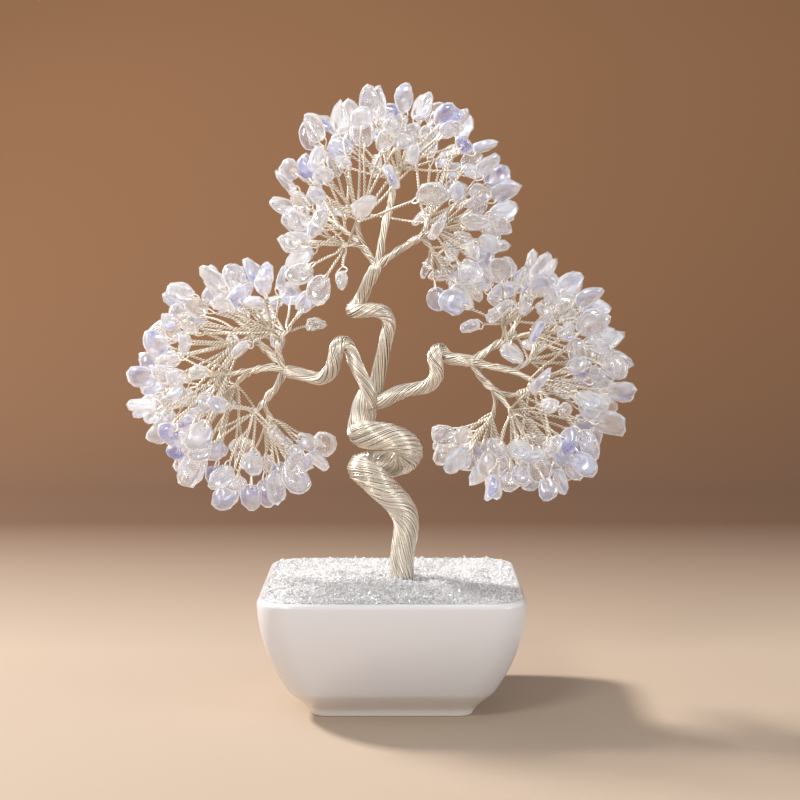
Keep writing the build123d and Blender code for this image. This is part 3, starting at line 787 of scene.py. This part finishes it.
def opal(name, pale, deep, body, clearness, haze):
    """Milky glass: a pale body with patches of the deeper colour where slow clouds are thick. Haze
    is how much it spreads the light that it lets through. The middle, seen face on, hides only the
    body's share of what lies behind; the rims, seen aslant, are full and painted white, a painted
    highlight for the light that glass bends at its edges. A shadow ray loses only a part of its
    light, as light does in real glass."""
    material, where = start_material(name)
    shaded = where.node("ShaderNodeLightPath", output="Is Shadow Ray")
    tint = where.node("ShaderNodeAttribute", {"attribute_name": "tint"}, output="Fac")
    cloud = where.noise(150)
    worn = where.noise(260)
    dented = worn.bump(0.6, 0.9 * mm)
    slant = where.node("ShaderNodeLayerWeight", {}, {"Blend": 0.5, "Normal": dented}, "Facing")
    light_lost = 1 - shaded * light_passed
    polish = {
        "Roughness": haze + worn * 0.08,
        "Subsurface_Weight": 1.0,
        "Subsurface_Scale": 6 * mm,
        "Coat_Weight": 1.0,
        "Coat_Roughness": 0.02,
        "Coat_IOR": 2.1,
        "Normal": dented,
    }
    # Painted highlight: the white finish that the rims take on when seen aslant
    rim = where.finish(
        Base_Color=(1.0, 1.0, 1.0, 1),
        Alpha=light_lost,
        Subsurface_Radius=(1.0, 0.97, 1.0),
        **polish,
    )
    middle = where.finish(
        Base_Color=(cloud + tint * 0.25).ramp(0.52, 0.78).blend(pale, deep),
        Alpha=light_lost * body,
        Transmission_Weight=clearness,
        IOR=1.5,
        Subsurface_Radius=(1.0, 0.95, 0.95),
        Sheen_Weight=0.8,
        Sheen_Roughness=0.3,
        **polish,
    )
    # The painted rim highlight grows as the surface turns aslant
    painted_rim_highlight = slant.ramp(0.25, 0.7) * rim_highlight_share
    whole = where.node("ShaderNodeMixShader", {}, {0: painted_rim_highlight, 1: middle, 2: rim})
    where.node("ShaderNodeOutputMaterial", {}, {"Surface": whole})
    return material


milky = opal("milky_opal_glass", (0.95, 0.96, 1.0, 1), (0.66, 0.71, 0.99, 1), 0.82, 0.80, 0.02)
violet = opal("violet_opal_glass", (0.88, 0.90, 1.0, 1), (0.38, 0.42, 0.95, 1), 0.82, 0.82, 0.02)
clear = opal("clear_opal_glass", (0.98, 0.99, 1.0, 1), (0.80, 0.82, 0.98, 1), 0.72, 0.90, 0.01)


def chip_surface(place, low, high, dice):
    """Closed grid round a drilled hole. Its rows run from one end of the hole over one face, the
    edge and the other face to the other end, and each mixes the hole's circle with the outline. The
    outline is the soft least of the distances to a turned square's sides and three cut corners: one
    over the root of the sum of powers of cosine over distance, stretched to fit between the low and
    high corners. One side of the chip is thinner than the other, and random shares make its skin
    uneven."""
    hole, outward, hole_way = place
    side_way = np.cross(hole_way, outward)
    mix = np.array([0, 0.56, 0.90, 1.0, 0.90, 0.56, 0])[:, None]
    thickness = np.array([1, 1.0, 0.70, 0, -0.70, -1.0, -1])[:, None]
    angle = 2 * np.pi * np.arange(around_steps) / around_steps
    circle = np.stack([np.cos(angle), np.sin(angle)])
    square = np.pi / 2 * np.arange(4) + dice.uniform(-0.35, 0.35)
    facing = np.concatenate([square, square[:3] + dice.uniform(0.5, 1.1, 3)])
    away = np.concatenate([np.ones(4), dice.uniform(0.85, 1.2, 3)])
    nearness = np.maximum(np.cos(angle[:, None] - facing), 0) / away
    outline = circle * (nearness**sharpness).sum(1) ** (-1 / sharpness)
    outline -= (outline.max(1, keepdims=True) + outline.min(1, keepdims=True)) / 2
    outline /= outline.max(1, keepdims=True)
    middle, half = (low + high) / 2, (high - low) / 2
    uneven = unevenness * dice.normal(size=(len(mix), around_steps)) * mix
    skin = middle[1:, None, None] + half[1:, None, None] * outline[:, None] * (1 + uneven / 3)
    up, side = skin * mix + hole_radius * circle[:, None] * (1 - mix)
    wedge = 1 + wedge_share * np.cos(angle - dice.uniform(0, 2 * np.pi)) * mix
    saddle = saddle_share * np.sin(2 * angle + dice.uniform(0, 2 * np.pi)) * mix
    wedge = (wedge + saddle) * (1 + uneven)
    flat = np.where(thickness > 0, dice.uniform(0.7, 1.0), dice.uniform(0.6, 1.0))
    through = half[0] * thickness * wedge * flat
    return hole + np.stack([through, up, side], -1) @ [hole_way, outward, side_way]


def chip_extent(places, line):
    """Lowest and highest corner of a CAD chip in its own directions: hole, outward and side."""
    _, hole, outward, hole_way = line
    axes = np.stack([hole_way, outward, np.cross(hole_way, outward)], -1)
    local = (places - hole) @ axes
    return local.min(0), local.max(0)


# Chips that stand out: their places across and up, their glass, and how near a chip has to be
marked_places = [(16.8, 157.7), (40.7, 204.3), (-23.5, 158.4), (-7.8, 232), (19.9, 94.6)]
marked_places = np.array([*marked_places, (23.5, 79.4)]) * mm
marked_glass, marked_near = ["violet", "violet", "violet", "clear", "clear", "violet"], 5 * mm
# From a hole to about the middle of its chip, for a CAD chip and for any other
cad_chip_reach, chip_reach = 2.5 * mm, 3 * mm


def add_chips(name, lines, extents, nodes, dice):
    """One piece for each kind of glass among these chips; the first stands for the CAD node."""
    by_glass = {glass: [] for glass in glass_odds}
    for (_, hole, outward, hole_way), (low, high) in zip(lines, extents):
        surface = chip_surface((hole, outward, hole_way), low, high, dice)
        quads = grid_quads(*surface.shape[:2], True)
        away = np.linalg.norm(marked_places - (hole + outward * chip_reach)[[0, 2]], axis=1)
        glass = dice.choice(list(glass_odds), p=list(glass_odds.values()))
        if away.min() < marked_near:
            glass = marked_glass[away.argmin()]
        by_glass[glass].append(tinted((surface.reshape(-1, 3), quads), dice.uniform(0, 1, 1)))
    for (glass, parts), material in zip(by_glass.items(), [milky, violet, clear]):
        if parts:
            title = f"{name}_{glass}_chips"
            merge_doubles(add_piece(title, *joined(parts), material, "opal_glass", nodes))
            nodes = ()


def gap_to(points, others):
    """Least distance from each point to any of the others."""
    return np.linalg.norm(points[:, None] - others[None], axis=2).min(1)


def reach_to_skin(starts, ways, centre, halves):
    """Distance along each way to an oval wall or to its flat sides: the larger root of the wall's
    quadratic, or what is left to a side over the way's part towards it."""
    p, q = (starts - centre) / halves, ways / halves
    to_side = (1 - p[:, 1] * np.sign(q[:, 1])) / np.maximum(np.abs(q[:, 1]), 1e-9)
    p, q = p[:, [0, 2]], q[:, [0, 2]]
    a, b, c = (q * q).sum(1), (p * q).sum(1), (p * p).sum(1) - 1
    return np.minimum((-b + np.sqrt(np.maximum(b * b - a * c, 0))) / a, to_side)


# Crowns: the twigs of each limb, bent by hand into fans that make an oval crown, bare in its
# middle. Extra chips on twigs of their own fill it where the CAD chips leave room.
crown_margin, fan_flatness, extra_chips, tries = 7.4 * mm, 0.6, 46, 500
# Centre as shares of the rise, then width, depth and height over the chips in millimetres
crown_sizes = {
    "left": ((-0.296, 0.0, 0.408), (86, 64, 97)),
    "top": ((0.002, 0.0, 0.754), (95, 64, 92)),
    "right": ((0.256, 0.0, 0.416), (84, 64, 96)),
}
# An extra chip's least distance to its stem, to any branch or stem, and in view to the trunk and
# the limbs' bends; how far it may lie towards the trunk, and how near to the crown's middle
least_reach, branch_clear, bare_clear = 8 * mm, 5 * mm, 12 * mm
most_trunkward, middle_left_bare = 0.65, 0.7
# Room to other chips counts up to here, in space and in view, and how far a chip hangs turned aside
most_room, most_room_in_view, most_aside = 6.5 * mm, 5 * mm, np.radians(60)
# How far back from the stem's tip an extra twig may leave it, and how far its foot stands off
extra_root, extra_foot_clear = 5 * mm, 1 * mm
# Low and high corners over the hole, drilled near one end or through the middle and lying across
end_drilled = np.array([(-2.0, -1.6, -4.4), (2.0, 8.2, 4.4)]) * mm
middle_drilled = np.array([(-2.0, -2.6, -5.6), (2.0, 4.6, 5.0)]) * mm
# The trunk and the limbs' bends from the front, which no extra chip hangs before or behind
bare = [smooth_route(trunk_places, check_step)[:, :3]] + [crown[1] for crown in crowns]
bare = np.concatenate(bare)[:, [0, 2]]
dice = np.random.default_rng(17)
for side, bent, passed, tips in crowns:
    middles = []
    for spray in [name for name in twigs_of if name.startswith(side)]:
        solids = islands(f"{spray}_chips")
        places = np.array([solid.mean(0) for solid in solids])
        extents = []
        for line in twigs_of[spray]:
            aim = line[1] + line[2] * cad_chip_reach
            nearest = np.argmin(np.linalg.norm(places - aim, axis=1))
            low, high = chip_extent(solids[nearest], line)
            extents.append((low * chip_fullness, high * chip_fullness))
            middles.append(places[nearest])
        add_chips(spray, twigs_of[spray], extents, [f"{spray}_chips"], dice)
    centre = rim + np.array(crown_sizes[side][0]) * tree_rise
    halves = np.array(crown_sizes[side][1]) * mm / 2 - crown_margin
    lines, extents, parts = [], [], []
    for _ in range(extra_chips):
        picked = dice.integers(0, len(tips), tries)
        tip, heading = (np.array([tips[k][part] for k in picked]) for part in (0, 1))
        ways = heading + unit(dice.normal(size=(tries, 3))) * dice.uniform(0.2, 1.0, (tries, 1))
        ways = unit(ways * [1, fan_flatness, 1])
        feet = tip - heading * dice.uniform(0, 1, (tries, 1)) * extra_root
        reach = reach_to_skin(feet, ways, centre, halves) * dice.uniform(0.6, 1.0, tries)
        holes = feet + ways * reach[:, None]
        stones = holes + ways * chip_reach
        seen, taken = stones[:, [0, 2]], np.array(middles)
        out = ((stones - centre) / halves)[:, [0, 2]]
        trunkward = unit(out) @ unit((bent[-1] - centre)[[0, 2]])
        room = np.minimum(gap_to(stones, taken), most_room)
        room += np.minimum(gap_to(seen, taken[:, [0, 2]]), most_room_in_view)
        crowded = (reach < least_reach) | (gap_to(stones, passed) < branch_clear)
        crowded |= gap_to(seen, bare) < bare_clear
        crowded |= (trunkward > most_trunkward) | (np.linalg.norm(out, axis=1) < middle_left_bare)
        # A crowded place counts as a metre less room
        best = np.argmax(room + dice.uniform(0, 1.5, tries) * mm - crowded)
        way = ways[best]
        middles.append(stones[best])
        facing = unit(np.array([0, -1, 0]) + way * way[1])
        aside = most_aside * dice.uniform(-1, 1)
        hole_way = facing * math.cos(aside) + np.cross(way, facing) * math.sin(aside)
        lines.append((feet[best] + way * extra_foot_clear, holes[best], way, hole_way))
        low, high = end_drilled if dice.uniform() < 0.5 else middle_drilled
        size = dice.uniform(0.8, 1.2)
        size = size * np.array([1.0, dice.uniform(0.85, 1.1), dice.uniform(0.85, 1.1)])
        extents.append((low * size, high * size))
        parts += twisted_twig(*lines[-1], *tips[picked[best]], dice)
    add_piece(f"{side}_extra_twigs", *joined(parts), silver, "silver_wire")
    add_chips(f"{side}_extra", lines, extents, (), dice)

# Floor, light and camera: a pale matt floor that darkens towards the back into a band of painted
# shadow, then runs up into a plain brown backdrop, with one lamp from the upper left behind, a
# softer one in front, a weak fill from the right and an even surround. The camera looks down a
# little from the height of the crowns.
sweep_half, sweep_front, sweep_back, sweep_rise, sweep_radius = 3.0, -2.0, 1.6, 3.0, 0.9
floor_pale, backdrop_painted_shadow = (0.41, 0.318, 0.24, 1), (0.098, 0.045, 0.019, 1)
backdrop_brown = (0.232, 0.113, 0.050, 1)
floor_paint, where = start_material("pale_paper")
back = where.axis("Y")
# Painted shadow: the floor darkens into a dark brown band before the backdrop's own brown
floor_to_shadow = back.ramp(0.08, 0.45).blend(floor_pale, backdrop_painted_shadow)
where.surface(Base_Color=back.ramp(0.6, 1.45).blend(floor_to_shadow, backdrop_brown), Roughness=0.9)
angle = np.linspace(-np.pi / 2, 0, 24)
curve = np.stack([np.cos(angle) - 1, np.sin(angle) + 1], -1) * sweep_radius + [sweep_back, 0]
profile = np.concatenate([[(sweep_front, 0)], curve, [(sweep_back, sweep_rise)]])
sides = [np.insert(profile, 0, end, axis=1) for end in (-sweep_half, sweep_half)]
sides = np.concatenate(sides)
rows = np.arange(len(profile) - 1)[:, None]
beside = rows + len(profile)
sweep_quads = np.concatenate([rows, beside, beside + 1, rows + 1], 1)
sweep = new_object("floor_sweep", new_mesh("floor_sweep", sides, sweep_quads, floor_paint))


def add_lamp(name, place, aim, size, watts, colour):
    """Square soft lamp that faces its aim."""
    data = bpy.data.lights.new(name, "AREA")
    data.size, data.energy, data.color = size, watts, colour
    lamp = new_object(name, data)
    lamp.location = place
    away = Vector(place) - Vector(aim)
    lamp.rotation_euler = away.to_track_quat("Z", "Y").to_euler()


tree_middle, even_light = (0, 0, 0.13), 0.56
add_lamp("key", (-0.95, 0.52, 1.03), tree_middle, 0.2, 33.0, (1.0, 0.97, 0.94))
add_lamp("front", (-0.55, -1.1, 0.95), tree_middle, 0.4, 8.0, (1.0, 0.985, 0.98))
add_lamp("fill", (1.1, -0.7, 0.4), tree_middle, 0.45, 4.5, (0.97, 0.985, 1.0))
world = bpy.data.worlds.new("surround")
world.use_nodes = True
world.node_tree.nodes.clear()
sky = Socket(world.node_tree, None)
seen, mirrored, through = (
    sky.node("ShaderNodeLightPath", output=f"Is {kind} Ray")
    for kind in ("Camera", "Glossy", "Transmission")
)
# Full strength where it is seen, mirrored or looked at through glass
strength = (seen + mirrored + through).ramp(0, 1) * (1 - even_light) + even_light
surround = {"Color": (0.97, 0.98, 1.0, 1), "Strength": strength}
background = sky.node("ShaderNodeBackground", {}, surround)
sky.node("ShaderNodeOutputWorld", {}, {"Surface": background})
bpy.context.scene.world = world
bpy.context.scene.view_settings.view_transform = "Standard"

camera_place, looks_down = (3.1 * mm, -698 * mm, 178.7 * mm), math.radians(4.93)
camera_data = bpy.data.cameras.new("camera")
camera_data.lens, camera_data.sensor_width = 80.3, 36
camera = new_object("camera", camera_data)
camera.location = camera_place
camera.rotation_euler = (math.pi / 2 - looks_down, 0, 0)
bpy.context.scene.camera = camera
